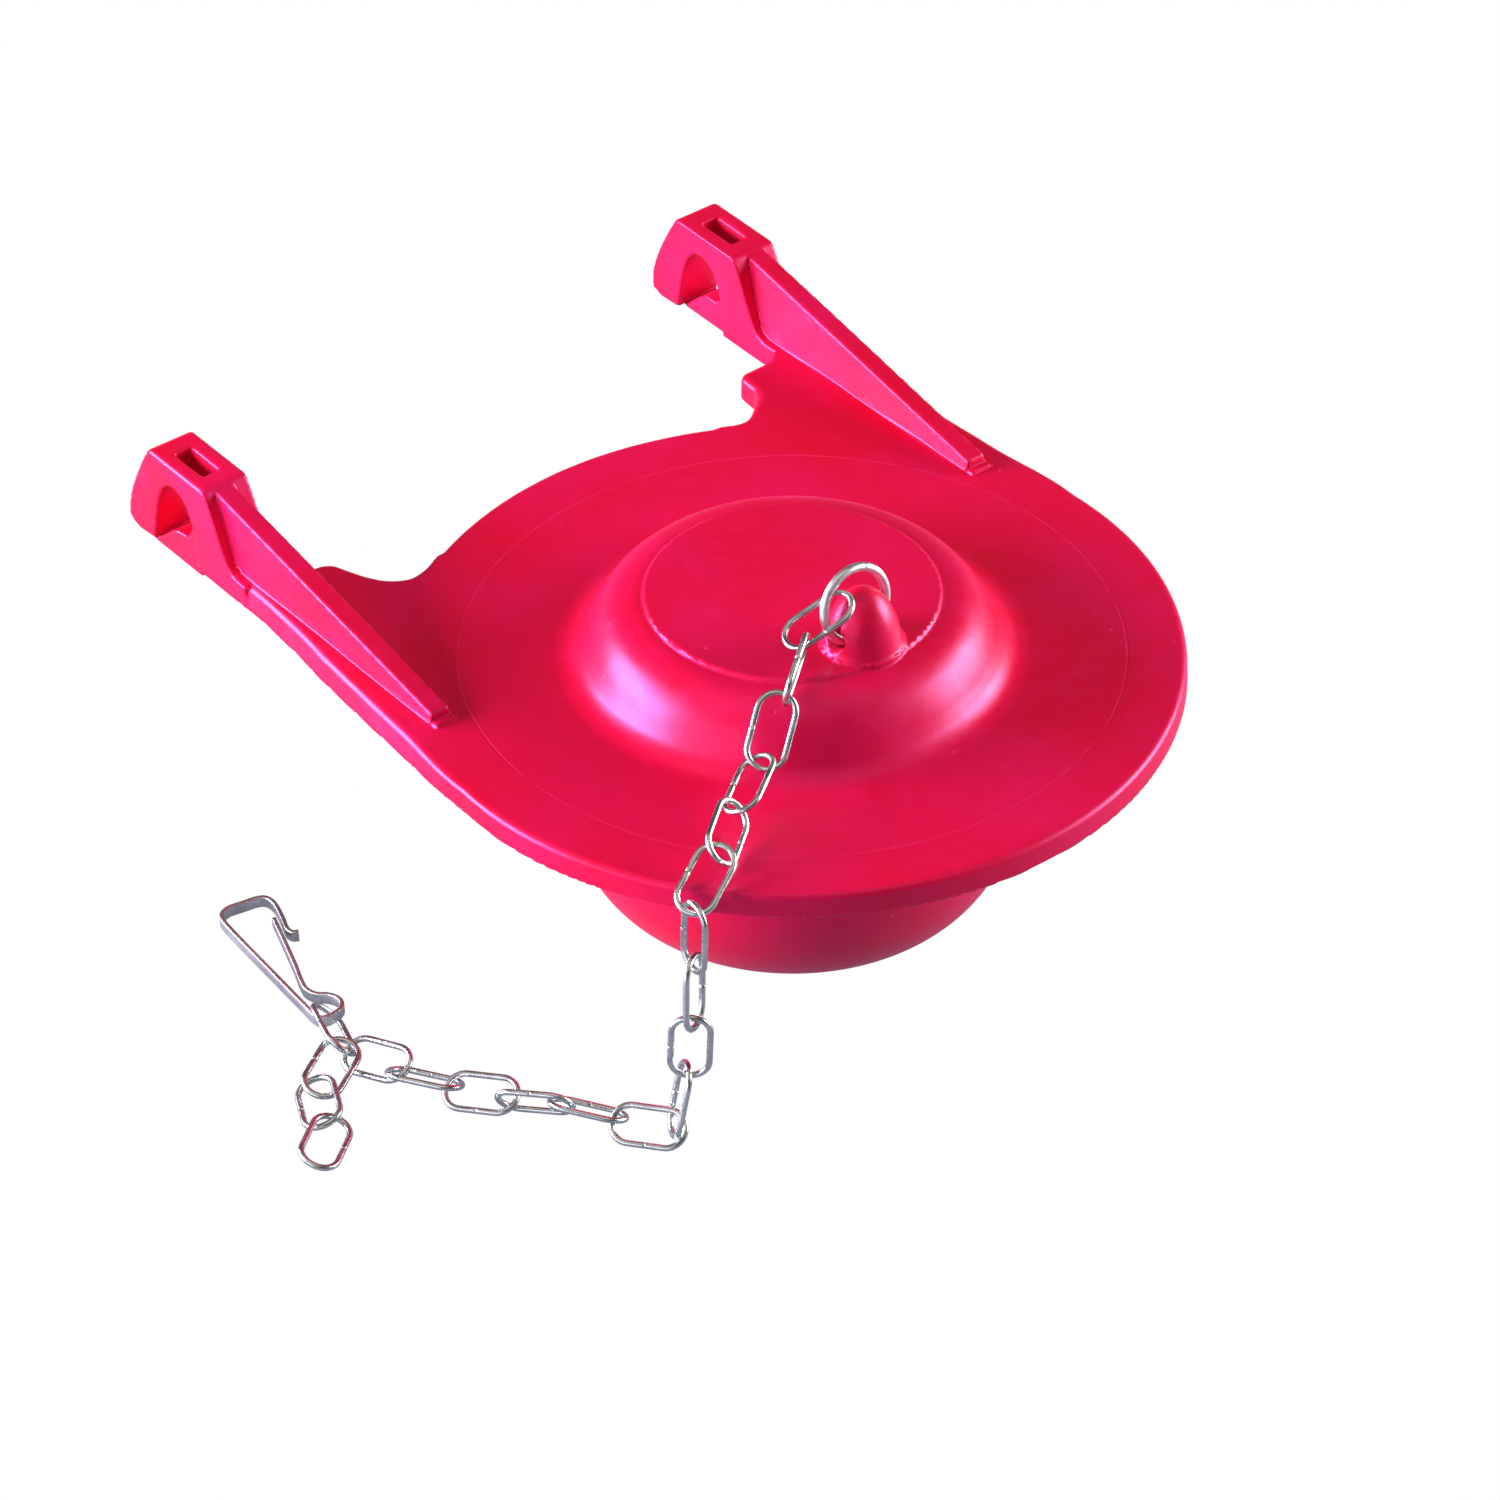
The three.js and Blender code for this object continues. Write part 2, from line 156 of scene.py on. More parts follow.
shoulder = curve([(16.35, 38.44), (17.2, 38.3), (18.4, 37.92), (19.6, 37.15), (20.6, 36.05), (21.4, 34.8), (22.15, 33.4), (22.95, 32.2), (24.0, 31.42), (25.2, 31.13), (26.2, DISC_TOP)], 0.15)
bulb_out = bezier((25.2, 16.4), (25.2, 0), (11.8, 0), 60)
bulb_in = bezier((11.0, 2.5), (22.7, 2.5), (22.7, 16.4), 50)
dome = curve([(22.7, 27.6), (22.55, 29.0), (21.0, 31.9), (19.2, 34.4), (16.6, 35.9), (13.0, 36.4), (10.0, 36.4)], 0.25)
SHELL = (
    [(-6, PAD_TOP), (15.65, PAD_TOP)]
    + arc(15.65, PAD_TOP - 0.2, 0.2, 90, 20, 4)
    + [(15.93, 38.6)]
    + arc(16.2, 38.7, 0.26, 200, 285, 4)
    + shoulder
    + [(28.5, DISC_TOP), (28.5, DISC_BOTTOM)]
    + arc(26.5, DISC_BOTTOM - 1.3, 1.3, 90, 180, 8)
    + bulb_out
    + arc(7.6, 0.6, 0.6, 270, 180, 5)
    + arc(7.5, 2.0, 0.5, 180, 90, 4)
    + bulb_in
    + dome
    + [(-6, 36.4)]
)
shell_table = Table(lambda r, z: outline_distance(r, z, SHELL), -1.0, 32.0, -4.0, 43.0, 0.1)

POST = [(-3, -1.2), (4.62, -1.2), (4.62, 0.16)] + arc(4.46, 0.16, 0.16, 0, 90, 4)
POST += curve([(4.42, 0.33), (4.30, 0.48), (4.22, 0.8), (4.06, 1.6), (3.86, 2.5), (3.56, 3.4), (3.17, 4.3), (2.64, 5.2), (1.98, 6.0), (1.22, 6.55), (0.55, 6.84), (0.0, 6.9)], 0.15)
POST += [(-3, 6.9)]
post_table = Table(lambda r, z: outline_distance(r, z, POST), -1.0, 10.0, -4.0, 11.0, 0.1)

ARM_OUT = curve([(42.33, 2.6), (42.36, 5.0), (42.2, 9.0), (41.87, 13.4), (41.62, 17.6), (41.3, 21.8), (40.97, 26.0), (40.6, 30.7), (40.1, 34.9), (39.62, 42.0), (39.52, 48.0), (39.52, 56.6)], 0.5)
TAB_RIGHT = [(31.2, 44.45), (28.3, 44.4)] + curve([(27.75, 44.2), (27.3, 43.6), (27.15, 42.3), (27.05, 41.0), (26.4, 39.7), (24.8, 38.3), (23.1, 37.1), (21.4, 36.5), (19.6, 37.2)], 0.3)
TAB_LEFT = [(31.6, 44.45)] + curve([(30.5, 44.3), (29.4, 43.5), (28.6, 41.6), (27.6, 39.3), (26.3, 37.5), (24.4, 36.4), (21.8, 36.4), (19.6, 37.4)], 0.3)


def arm(tab):
    return [(36.0, 0.0)] + ARM_OUT + [(33.3, 56.6), (33.22, 46.6)] + arc(31.2, 46.45, 2.0, 0, -90, 6) + tab + [(18.5, 32.5), (27.0, 10.0)]


def plan_field(x, y):
    d = np.hypot(x, y) - DISC_R
    ax = np.abs(x)
    a = np.full(x.shape, 30, F)
    for side, tab in ((x >= 0, TAB_RIGHT), (x < 0, TAB_LEFT)):
        pick = side & (y > -4)
        a[pick] = outline_distance(ax[pick], y[pick], arm(tab))
    return np.where(ax < 34, joined(d.astype(F), a, 1.4), np.minimum(d, a))


plan_table = Table(plan_field, -46.0, 46.0, -46.0, 60.0, 0.2)

EAR = [(45.4, 28.14), (55.15, 27.95)] + curve([(55.25, 29.1), (55.8, 32.95), (56.35, 34.6), (57.0, 35.75), (58.3, 36.6), (59.9, 36.68), (61.1, 35.85), (61.8, 34.8), (62.4, 33.2), (63.1, 30.2), (63.6, 27.6)], 0.2)
EAR += [(66.7, 27.42), (68.2, 27.9), (68.55, 28.4)] + curve([(68.52, 28.9), (68.35, 30.3), (67.4, 33.1), (65.5, 36.85), (64.1, 39.2)], 0.3) + [(63.75, 39.6), (63.4, 39.7), (53.7, 39.7)]
EAR += curve([(53.35, 39.62), (53.05, 39.4), (52.1, 37.8), (50.45, 34.3), (49.2, 32.1), (48.5, 31.45), (47.4, 31.12), (45.9, 31.0)], 0.25)
ear_table = Table(lambda y, z: outline_distance(y, z, EAR), 41.0, 73.0, 23.0, 44.0, 0.1)
TONGUE = [(54.6, 27.45), (63.6, 27.4), (63.75, 27.55), (60.0, 30.8), (59.3, 31.1), (57.6, 31.25), (56.9, 31.7), (56.4, 32.6), (55.8, 33.6)]
tongue_table = Table(lambda y, z: outline_distance(y, z, TONGUE), 52.0, 66.0, 24.0, 37.0, 0.1)

lean = math.radians(90 - RING_LEAN)


def flapper(p):
    """Signed distance to the moulding at the rows of p, in millimetres."""
    x, y, z = p[:, 0], p[:, 1], p[:, 2]
    ax, r = np.abs(x), np.sqrt(p[:, 0] ** 2 + p[:, 1] ** 2)
    rise = np.clip((z - F(DISC_BOTTOM)) / F(DISC_TOP - DISC_BOTTOM), 0, 1)
    side = ease(y, 5, 16) * ease(ax, 36, 38.6)
    plan = plan_table(x, y) + rise * (F(0.12) + F(0.5) * side)
    plate = both(plan, z - F(DISC_TOP), 0.7)
    plate = both(plate, F(DISC_BOTTOM) - z, 0.25)
    plate = np.maximum(plate, F(24.2) - r)
    plate = np.where(y > 45.2, both(plate, np.maximum(F(33.6) - ax, y - F(55.15)), 0.1), plate)
    far = y > 8
    d = plate
    if far.any():
        fx, fy, fz = ax[far], y[far], z[far]
        t = np.clip((fy - 13.4) / 40.8, 0, 1)
        top = 32.35 + 7.25 * t
        s = np.clip((fz - 30.6) / (top - 30.6), 0, 1.2)
        a = (35.2 - 0.9 * t) + (0.5 + 0.9 * t) * s
        b = (38.3 + 0.1 * t) - (0.25 + 0.1 * t) * s
        rib = both(np.maximum(a - fx, fx - b), (fz - top) * F(0.985), 0.28)
        rib = both(rib, 13.45 - fy, 0.2)
        rib = np.maximum(np.maximum(rib, fy - 56.0), 29.5 - fz)
        toe = both(np.maximum(np.abs(fx - 36.8) - 1.35, 12.5 - fy), fz - 31.52, 0.15)
        toe = np.maximum(np.maximum(toe, fy - 15.5), 29.5 - fz)
        e = joined(d[far], np.minimum(rib, toe), 0.16)
        ear = both(ear_table(fy, fz), np.abs(fx - 36.55) - 2.95, 0.3)
        draft = F(0.25) * np.clip(39.7 - fz, 0, 3)
        hole = both(both((np.abs(fx - 36.6) - 1.15 + draft) * F(0.97), np.abs(fy - 58.45) - 2.7, 0.35), 37.2 - fz, 0.3)
        tongue = both(tongue_table(fy, fz), np.abs(fx - 36.9) - 2.4, 0.15)
        e = joined(e, ear, 0.1)
        e = both(e, -hole, 0.22)
        e = joined(e, tongue, 0.12)
        d = d.copy()
        d[far] = e
    d = np.minimum(d, shell_table(r, z))
    near = (ax < 8) & (np.abs(y - POST_Y) < 9) & (z > 34)
    if near.any():
        nx, ny, nz = x[near], y[near], z[near]
        post = post_table(np.sqrt(nx**2 + (ny - POST_Y) ** 2), nz - PAD_TOP)
        e = joined(d[near], post, 0.15)
        bore = np.sqrt((ny - POST_Y) ** 2 + (nz - HOLE_Z) ** 2) - HOLE_R
        worn = bore
        for swing in (0, -8, -16, -24):
            c, k = math.cos(math.radians(-swing)), math.sin(math.radians(-swing))
            ty, tz = ny - PIVOT[0], nz - PIVOT[1]
            qx = nx - RING_C[0]
            qy = c * ty - k * tz + PIVOT[0] - RING_C[1]
            qz = k * ty + c * tz + PIVOT[1] - RING_C[2]
            across = -math.sin(lean) * qy + math.cos(lean) * qz
            up = math.cos(lean) * qy + math.sin(lean) * qz
            worn = np.minimum(worn, np.sqrt((np.sqrt(qx**2 + up**2) - RING_R) ** 2 + (across / 1.4) ** 2) - 0.68)
        e = both(e, -worn, 0.12)
        d = d.copy()
        d[near] = e
    wave = np.sin(x * F(0.21) + 1.3) * np.sin(y * F(0.17) + z * F(0.12)) + np.sin(x * F(0.09) - y * F(0.13) + 0.4)
    return d + F(0.022) * wave


def gradient(p, h=0.06):
    g = np.zeros_like(p)
    for a in range(3):
        s = np.zeros(3, F)
        s[a] = h
        g[:, a] = flapper(p + s) - flapper(p - s)
    n = np.linalg.norm(g, axis=1, keepdims=True)
    return g / np.maximum(n, 1e-6), n[:, 0] / (2 * h)


def settle(p, rounds, most):
    for _ in range(rounds):
        g, size = gradient(p)
        step = flapper(p) / np.clip(size, 0.5, 1.5)
        p = p - g * np.clip(step, -most, most)[:, None]
    return p


def surface(lo, hi, h):
    """Closed surface of the moulding as points and four-sided faces."""
    B = 4
    n = [int(math.ceil((hi[a] - lo[a]) / h / B)) * B for a in range(3)]
    ax = [lo[a] + h * np.arange(n[a], dtype=F) for a in range(3)]
    mid = [v.reshape(-1, B).mean(1) for v in ax]
    c = np.stack(np.meshgrid(*mid, indexing="ij"), -1).reshape(-1, 3).astype(F)
    cd = np.concatenate([flapper(c[i:i + 200000]) for i in range(0, len(c), 200000)])
    cells = [k // B for k in n]
    V = cd.reshape(cells)
    for a in range(3):
        V = np.repeat(V, B, a)
    V = V.copy()
    close = np.flatnonzero(np.abs(cd) < h * B * 0.87 + 0.35)
    bi = np.stack(np.unravel_index(close, cells), -1)
    off = np.stack(np.meshgrid(*[np.arange(B)] * 3, indexing="ij"), -1).reshape(-1, 3)
    for i in range(0, len(bi), 8000):
        g = (bi[i:i + 8000, None, :] * B + off[None]).reshape(-1, 3)
        p = np.stack([ax[a][g[:, a]] for a in range(3)], -1).astype(F)
        V[g[:, 0], g[:, 1], g[:, 2]] = flapper(p)
    V[np.abs(V) < 1e-5] = 1e-5
    S = V < 0
    s8 = S.astype(np.uint8)
    total = sum(s8[i:n[0] - 1 + i, j:n[1] - 1 + j, k:n[2] - 1 + k] for i in (0, 1) for j in (0, 1) for k in (0, 1))
    cell = np.argwhere((total > 0) & (total < 8))
    ids = np.full([k - 1 for k in n], -1, np.int32)
    ids[cell[:, 0], cell[:, 1], cell[:, 2]] = np.arange(len(cell))
    corner = np.array([(i, j, k) for i in (0, 1) for j in (0, 1) for k in (0, 1)])
    val = np.stack([V[cell[:, 0] + i, cell[:, 1] + j, cell[:, 2] + k] for i, j, k in corner], -1)
    acc, cnt = np.zeros((len(cell), 3), F), np.zeros(len(cell), F)
    for a in range(8):
        for b in range(a + 1, 8):
            if np.abs(corner[a] - corner[b]).sum() != 1:
                continue
            va, vb = val[:, a], val[:, b]
            x = (va < 0) != (vb < 0)
            t = np.where(x, va / np.where(x, va - vb, 1), 0)[:, None]
            acc += np.where(x[:, None], corner[a] + t * (corner[b] - corner[a]), 0)
            cnt += x
    pos = (cell + acc / cnt[:, None]) * h + np.array(lo)
    quads = []
    for a in range(3):
        u, v = (a + 1) % 3, (a + 2) % 3
        lo_s = [slice(1, -1)] * 3
        hi_s = [slice(1, -1)] * 3
        lo_s[a], hi_s[a] = slice(0, -1), slice(1, None)
        A, C = S[tuple(lo_s)], S[tuple(hi_s)]
        e = np.argwhere(A != C)
        e += 1
        e[:, a] -= 1
        down = S[e[:, 0], e[:, 1], e[:, 2]]
        q = []
        for du, dv in ((-1, -1), (0, -1), (0, 0), (-1, 0)):
            w = e.copy()
            w[:, u] += du
            w[:, v] += dv
            q.append(ids[w[:, 0], w[:, 1], w[:, 2]])
        q = np.stack(q, -1)
        quads.append(np.where(down[:, None], q, q[:, ::-1]))
    return settle(pos.astype(F), 2, 0.2), np.concatenate(quads)


def mesh_of(name, points, faces, smooth=True):
    """A mesh from points in millimetres and faces of one size."""
    me = bpy.data.meshes.new(name)
    faces = np.asarray(faces, np.int32)
    me.vertices.add(len(points))
    me.vertices.foreach_set("co", (np.asarray(points, np.float64) * MM).astype(F).ravel())
    me.loops.add(faces.size)
    me.loops.foreach_set("vertex_index", faces.ravel())
    me.polygons.add(len(faces))
    me.polygons.foreach_set("loop_start", np.arange(len(faces), dtype=np.int32) * faces.shape[1])
    me.update(calc_edges=True)
    me.validate()
    me.polygons.foreach_set("use_smooth", np.full(len(me.polygons), smooth))
    return me


def place(name, me, material):
    ob = bpy.data.objects.new(name, me)
    bpy.context.scene.collection.objects.link(ob)
    me.materials.clear()
    me.materials.append(material)
    return ob


# ----------------------------------------------------------------- materials


def nodes_of(name):
    m = bpy.data.materials.new(name)
    m.use_nodes = True
    return m, m.node_tree.nodes, m.node_tree.links, m.node_tree.nodes["Principled BSDF"]


def noise(nodes, links, at, scale, detail=3.0, rough=0.55):
    n = nodes.new("ShaderNodeTexNoise")
    n.inputs["Scale"].default_value = scale
    n.inputs["Detail"].default_value = detail
    n.inputs["Roughness"].default_value = rough
    links.new(at, n.inputs["Vector"])
    return n.outputs["Fac"]


def ranged(nodes, links, value, a, b, c, d):
    n = nodes.new("ShaderNodeMapRange")
    n.clamp = True
    for k, v in zip(("From Min", "From Max", "To Min", "To Max"), (a, b, c, d)):
        n.inputs[k].default_value = v
    links.new(value, n.inputs["Value"])
    return n.outputs["Result"]


def maths(nodes, links, kind, a, b=None):
    n = nodes.new("ShaderNodeMath")
    n.operation = kind
    for i, v in enumerate((a, b)):
        if v is None:
            continue
        if isinstance(v, (int, float)):
            n.inputs[i].default_value = v
        else:
            links.new(v, n.inputs[i])
    return n.outputs[0]


def mixed(nodes, links, fac, a, b):
    n = nodes.new("ShaderNodeMix")
    n.data_type = "RGBA"
    links.new(fac, n.inputs["Factor"])
    for k, v in ((6, a), (7, b)):
        if isinstance(v, tuple):
            n.inputs[k].default_value = (*v, 1)
        else:
            links.new(v, n.inputs[k])
    return n.outputs[2]


def rubber():
    """Moulded red rubber: satin, faintly blotchy, with fine grain and dust."""
    m, N, L, b = nodes_of("red_rubber")
    at = N.new("ShaderNodeTexCoord").outputs["Object"]
    broad = noise(N, L, at, 55, 4, 0.6)
    small = noise(N, L, at, 420, 4, 0.6)
    grain = noise(N, L, at, 3200, 2, 0.5)
    tone = ranged(N, L, broad, 0.32, 0.68, 0, 1)
    colour = mixed(N, L, tone, (0.63, 0.0012, 0.022), (0.64, 0.0026, 0.060))
    bloom = ranged(N, L, small, 0.52, 0.78, 0, 0.35)
    colour = mixed(N, L, bloom, colour, (0.72, 0.006, 0.080))
    dust = N.new("ShaderNodeTexVoronoi")
    dust.inputs["Scale"].default_value = 520
    L.new(at, dust.inputs["Vector"])
    cell = N.new("ShaderNodeSeparateColor")
    L.new(dust.outputs["Color"], cell.inputs["Color"])
    few = maths(N, L, "GREATER_THAN", cell.outputs[0], 0.955)
    core = ranged(N, L, dust.outputs["Distance"], 0.03, 0.11, 1, 0)
    speck = maths(N, L, "MULTIPLY", few, core)
    colour = mixed(N, L, maths(N, L, "MULTIPLY", speck, 0.45), colour, (0.85, 0.16, 0.34))
    rough = maths(N, L, "ADD", ranged(N, L, small, 0.3, 0.7, 0.32, 0.40), ranged(N, L, broad, 0.3, 0.7, -0.03, 0.05))
    L.new(rough, b.inputs["Roughness"])
    # A fine scribed circle on the disc's upper face, and the grain.
    xyz = N.new("ShaderNodeSeparateXYZ")
    L.new(at, xyz.inputs[0])
    flat = N.new("ShaderNodeVectorMath")
    flat.operation = "MULTIPLY"
    L.new(at, flat.inputs[0])
    flat.inputs[1].default_value = (1, 1, 0)
    rad = N.new("ShaderNodeVectorMath")
    rad.operation = "LENGTH"
    L.new(flat.outputs[0], rad.inputs[0])
    near = maths(N, L, "ABSOLUTE", maths(N, L, "SUBTRACT", rad.outputs["Value"], 0.0359))
    line = ranged(N, L, near, 0.00004, 0.00016, 1, 0)
    upper = ranged(N, L, xyz.outputs["Z"], 0.0305, 0.0308, 0, 1)
    lower = ranged(N, L, xyz.outputs["Z"], 0.0314, 0.0317, 1, 0)
    worn = ranged(N, L, noise(N, L, at, 160, 2, 0.5), 0.35, 0.6, 0.15, 1)
    line = maths(N, L, "MULTIPLY", maths(N, L, "MULTIPLY", line, upper), maths(N, L, "MULTIPLY", lower, worn))
    colour = mixed(N, L, maths(N, L, "MULTIPLY", line, 0.18), colour, (0.80, 0.07, 0.26))
    L.new(colour, b.inputs["Base Color"])
    height = maths(N, L, "SUBTRACT", maths(N, L, "MULTIPLY", grain, 0.10), maths(N, L, "MULTIPLY", line, 0.9))
    height = maths(N, L, "ADD", height, maths(N, L, "MULTIPLY", small, 0.35))
    height = maths(N, L, "ADD", height, maths(N, L, "MULTIPLY", speck, 0.5))
    bump = N.new("ShaderNodeBump")
    bump.inputs["Strength"].default_value = 0.55
    bump.inputs["Distance"].default_value = 0.00009
    L.new(height, bump.inputs["Height"])
    L.new(bump.outputs["Normal"], b.inputs["Normal"])
    b.inputs["Specular IOR Level"].default_value = 0.55
    b.inputs["Specular Tint"].default_value = (1.0, 0.40, 1.0, 1)
    b.inputs["Sheen Weight"].default_value = 0.02
    b.inputs["Sheen Roughness"].default_value = 0.35
    b.inputs["Sheen Tint"].default_value = (1.0, 0.45, 0.75, 1)
    return m


def steel(name, seed, base, rough_lo, rough_hi, stretch):
    """Drawn stainless wire: bright, with fine lengthwise lines and dull spots."""
    m, N, L, b = nodes_of(name)
    at = N.new("ShaderNodeTexCoord").outputs["Object"]
    place_ = N.new("ShaderNodeMapping")
    place_.inputs["Scale"].default_value = stretch
    place_.inputs["Location"].default_value = (seed, seed * 0.7, 0)
    L.new(at, place_.inputs["Vector"])
    v = place_.outputs["Vector"]
    lines = noise(N, L, v, 2400, 3, 0.6)
    spots = noise(N, L, v, 520, 3, 0.6)
    tone = ranged(N, L, spots, 0.35, 0.65, 0, 1)
    L.new(mixed(N, L, tone, tuple(c * 0.82 for c in base), base), b.inputs["Base Color"])
    L.new(ranged(N, L, spots, 0.3, 0.7, rough_lo, rough_hi), b.inputs["Roughness"])
    b.inputs["Metallic"].default_value = 1.0
    bump = N.new("ShaderNodeBump")
    bump.inputs["Strength"].default_value = 0.35
    bump.inputs["Distance"].default_value = 0.00004
    L.new(lines, bump.inputs["Height"])
    L.new(bump.outputs["Normal"], b.inputs["Normal"])
    return m


RUBBER = rubber()
WIRE = steel("stainless_wire", 0.0, (0.62, 0.74, 0.65), 0.20, 0.34, (1, 1, 1))
RING = steel("ring_wire", 3.0, (0.80, 0.88, 0.79), 0.32, 0.44, (1, 1, 1))
STRIP = steel("clip_strip", 7.0, (0.68, 0.80, 0.71), 0.30, 0.42, (1, 0.25, 1))

# ------------------------------------------------------------- rubber piece
step = 0.40
points, quads = surface((-43.1, -43.1, -0.7), (43.1, 69.3, 46.5), step)
raw = mesh_of("flapper_raw", points, quads)
raw_ob = place("flapper_raw", raw, RUBBER)
thin = raw_ob.modifiers.new("thin", "DECIMATE")
thin.ratio = min(1.0, 186000 / (2 * len(quads)))
done = bpy.data.meshes.new_from_object(raw_ob.evaluated_get(bpy.context.evaluated_depsgraph_get()))
bpy.data.objects.remove(raw_ob)
co = np.zeros(len(done.vertices) * 3, F)
done.vertices.foreach_get("co", co)
co = settle((co.reshape(-1, 3) / MM).astype(F), 1, 0.08)
done.vertices.foreach_set("co", (co * MM).astype(F).ravel())
normals, _ = gradient(co, 0.07)
done.polygons.foreach_set("use_smooth", np.full(len(done.polygons), True))
done.update()
done.normals_split_custom_set_from_vertices(normals.astype(float).tolist())
done.name = "flapper_rubber"
body = place("flapper_rubber", done, RUBBER)
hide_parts("flapper")
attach(body, "flapper")

# ---------------------------------------------------------------- wire parts


def wire(path, inward, up, radius, sides, ends):
    """Round wire along a path that lies in a plane. With ends it is open and
    its two ends are rounded, otherwise it closes on itself."""
    path, inward = np.asarray(path, float), np.asarray(inward, float)
    rad = np.full(len(path), float(radius))
    if ends:
        d0, d1 = path[0] - path[1], path[-1] - path[-2]
        d0, d1 = d0 / np.linalg.norm(d0), d1 / np.linalg.norm(d1)
        cap = [(0.10, 0.94), (0.17, 0.80), (0.21, 0.45), (0.22, 0.02)]
        head = [path[0] + d0 * radius * a for a, _ in cap][::-1]
        tail = [path[-1] + d1 * radius * a for a, _ in cap]
        path = np.concatenate([head, path, tail])
        inward = np.concatenate([[inward[0]] * 4, inward, [inward[-1]] * 4])
        rr = [radius * b for _, b in cap]
        rad = np.concatenate([rr[::-1], rad, rr])
    ang = np.arange(sides) / sides * 2 * math.pi
    ring = path[:, None, :] + rad[:, None, None] * (np.cos(ang)[None, :, None] * inward[:, None, :] + np.sin(ang)[None, :, None] * np.asarray(up)[None, None, :])
    n = len(path)
    rows = n - 1 if ends else n
    i, k = np.meshgrid(np.arange(rows), np.arange(sides), indexing="ij")
    a, b = i * sides + k, i * sides + (k + 1) % sides
    c, d = ((i + 1) % n) * sides + k, ((i + 1) % n) * sides + (k + 1) % sides
    faces = np.stack([a, c, d, b], -1).reshape(-1, 4)
    pts = ring.reshape(-1, 3)
    return pts, faces


def outward(me):
    """Turns every face outwards."""
    import bmesh
    bm = bmesh.new()
    bm.from_mesh(me)
    ends = [e for e in bm.edges if len(e.link_faces) == 1]
    if ends:
        bmesh.ops.holes_fill(bm, edges=ends, sides=0)
    bmesh.ops.recalc_face_normals(bm, faces=bm.faces)
    bm.to_mesh(me)
    bm.free()
    me.polygons.foreach_set("use_smooth", np.full(len(me.polygons), True))
    return me


def steel_piece(name, pts, faces, material, node):
    ob = place(name, outward(mesh_of(name, pts, faces)), material)
    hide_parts(node)
    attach(ob, node)
    return ob


# The ring is bent from one length of wire and its two ends meet.
GAP = 0.9
t = np.radians(np.linspace(68 + GAP, 68 + 360 - GAP, 97))
flat = np.stack([np.cos(t), np.sin(t), 0 * t], -1)
pts, faces = wire(flat * RING_R, flat, (0, 0, 1), 0.525, 24, True)
turn = Matrix.Translation(RING_C) @ Matrix.Rotation(lean, 4, "X")
pts = pts @ np.array(turn.to_3x3()).T + np.array(RING_C)
steel_piece("ring_wire", pts, faces, RING, "chain_ring")

# Each link's centre, the direction of its length and its plane's normal.
LINKS = [
    ((-5.62, -11.47, 44.05), (-0.802, 0.317, -0.506), (0.517, -0.054, -0.854)),
    ((-10.36, -13.66, 41.17), (-0.778, -0.529, -0.338), (-0.605, 0.776, 0.178)),
    ((-15.58, -16.12, 37.05), (-0.609, -0.352, -0.711), (-0.383, -0.655, 0.652)),
    ((-20.73, -18.86, 34.28), (-0.83, -0.526, -0.186), (-0.371, 0.271, 0.888)),
    ((-26.77, -22.87, 33.36), (-0.79, -0.603, -0.109), (0.404, -0.647, 0.646)),
    ((-32.15, -26.1, 31.86), (-0.834, -0.346, -0.43), (-0.342, -0.287, 0.895)),
    ((-35.13, -27.95, 26.88), (-0.043, 0.001, -0.999), (-0.993, 0.11, 0.043)),
    ((-35.28, -27.98, 19.67), (-0.161, -0.18, -0.971), (0.481, -0.873, 0.082)),
    ((-35.82, -27.88, 12.55), (0.005, 0.075, -0.997), (-0.637, -0.769, -0.061)),
    ((-36.79, -27.17, 5.44), (-0.31, -0.082, -0.947), (-0.861, 0.446, 0.244)),
    ((-39.56, -25.32, 1.91), (-0.555, 0.827, -0.088), (-0.58, -0.308, 0.754)),
    ((-42.78, -19.08, 1.78), (-0.629, 0.768, 0.12), (0.41, 0.196, 0.891)),
    ((-46.85, -15.28, 2.46), (-0.591, 0.799, -0.111), (-0.697, -0.575, -0.429)),
    ((-49.84, -9.78, 1.63), (-0.535, 0.835, -0.13), (-0.449, -0.15, 0.881)),
    ((-53.1, -4.15, 1.63), (-0.529, 0.849, -0.016), (0.381, 0.254, 0.889)),
    ((-55.27, 1.49, 1.71), (-0.327, 0.931, -0.164), (-0.473, -0.011, 0.881)),
    ((-56.05, 8.21, 1.87), (0.312, 0.949, -0.043), (0.673, -0.189, 0.715)),
    ((-59.86, 3.37, 1.74), (-0.863, -0.489, -0.123), (-0.008, -0.231, 0.973)),
    ((-63.88, 0.02, 1.34), (-0.438, -0.897, 0.066), (-0.271, 0.201, 0.941)),
    ((-67.11, -5.77, 1.53), (-0.787, -0.615, 0.044), (0.234, -0.231, 0.945)),
]
bow, half = (4.8 - 0.72) / 2, (8.9 - 4.8) / 2


def link_path(joint_side):
    """Oval centre line that starts and ends at a butt joint in one long side."""
    p, q = [], []
    for x in np.linspace(0.05, half, 6)[:-1]:
        p.append((x, -bow, 0)); q.append((0, -1, 0))
    for a in np.radians(np.linspace(-90, 90, 19)):
        p.append((half + bow * math.cos(a), bow * math.sin(a), 0)); q.append((math.cos(a), math.sin(a), 0))
    for x in np.linspace(half, -half, 10)[1:-1]:
        p.append((x, bow, 0)); q.append((0, 1, 0))
    for a in np.radians(np.linspace(90, 270, 19)):
        p.append((-half + bow * math.cos(a), bow * math.sin(a), 0)); q.append((math.cos(a), math.sin(a), 0))
    for x in np.linspace(-half, -0.05, 6)[1:]:
        p.append((x, -bow, 0)); q.append((0, -1, 0))
    p, q = np.array(p), np.array(q)
    if joint_side:
        p[:, 1] *= -1; q[:, 1] *= -1
    return p, q


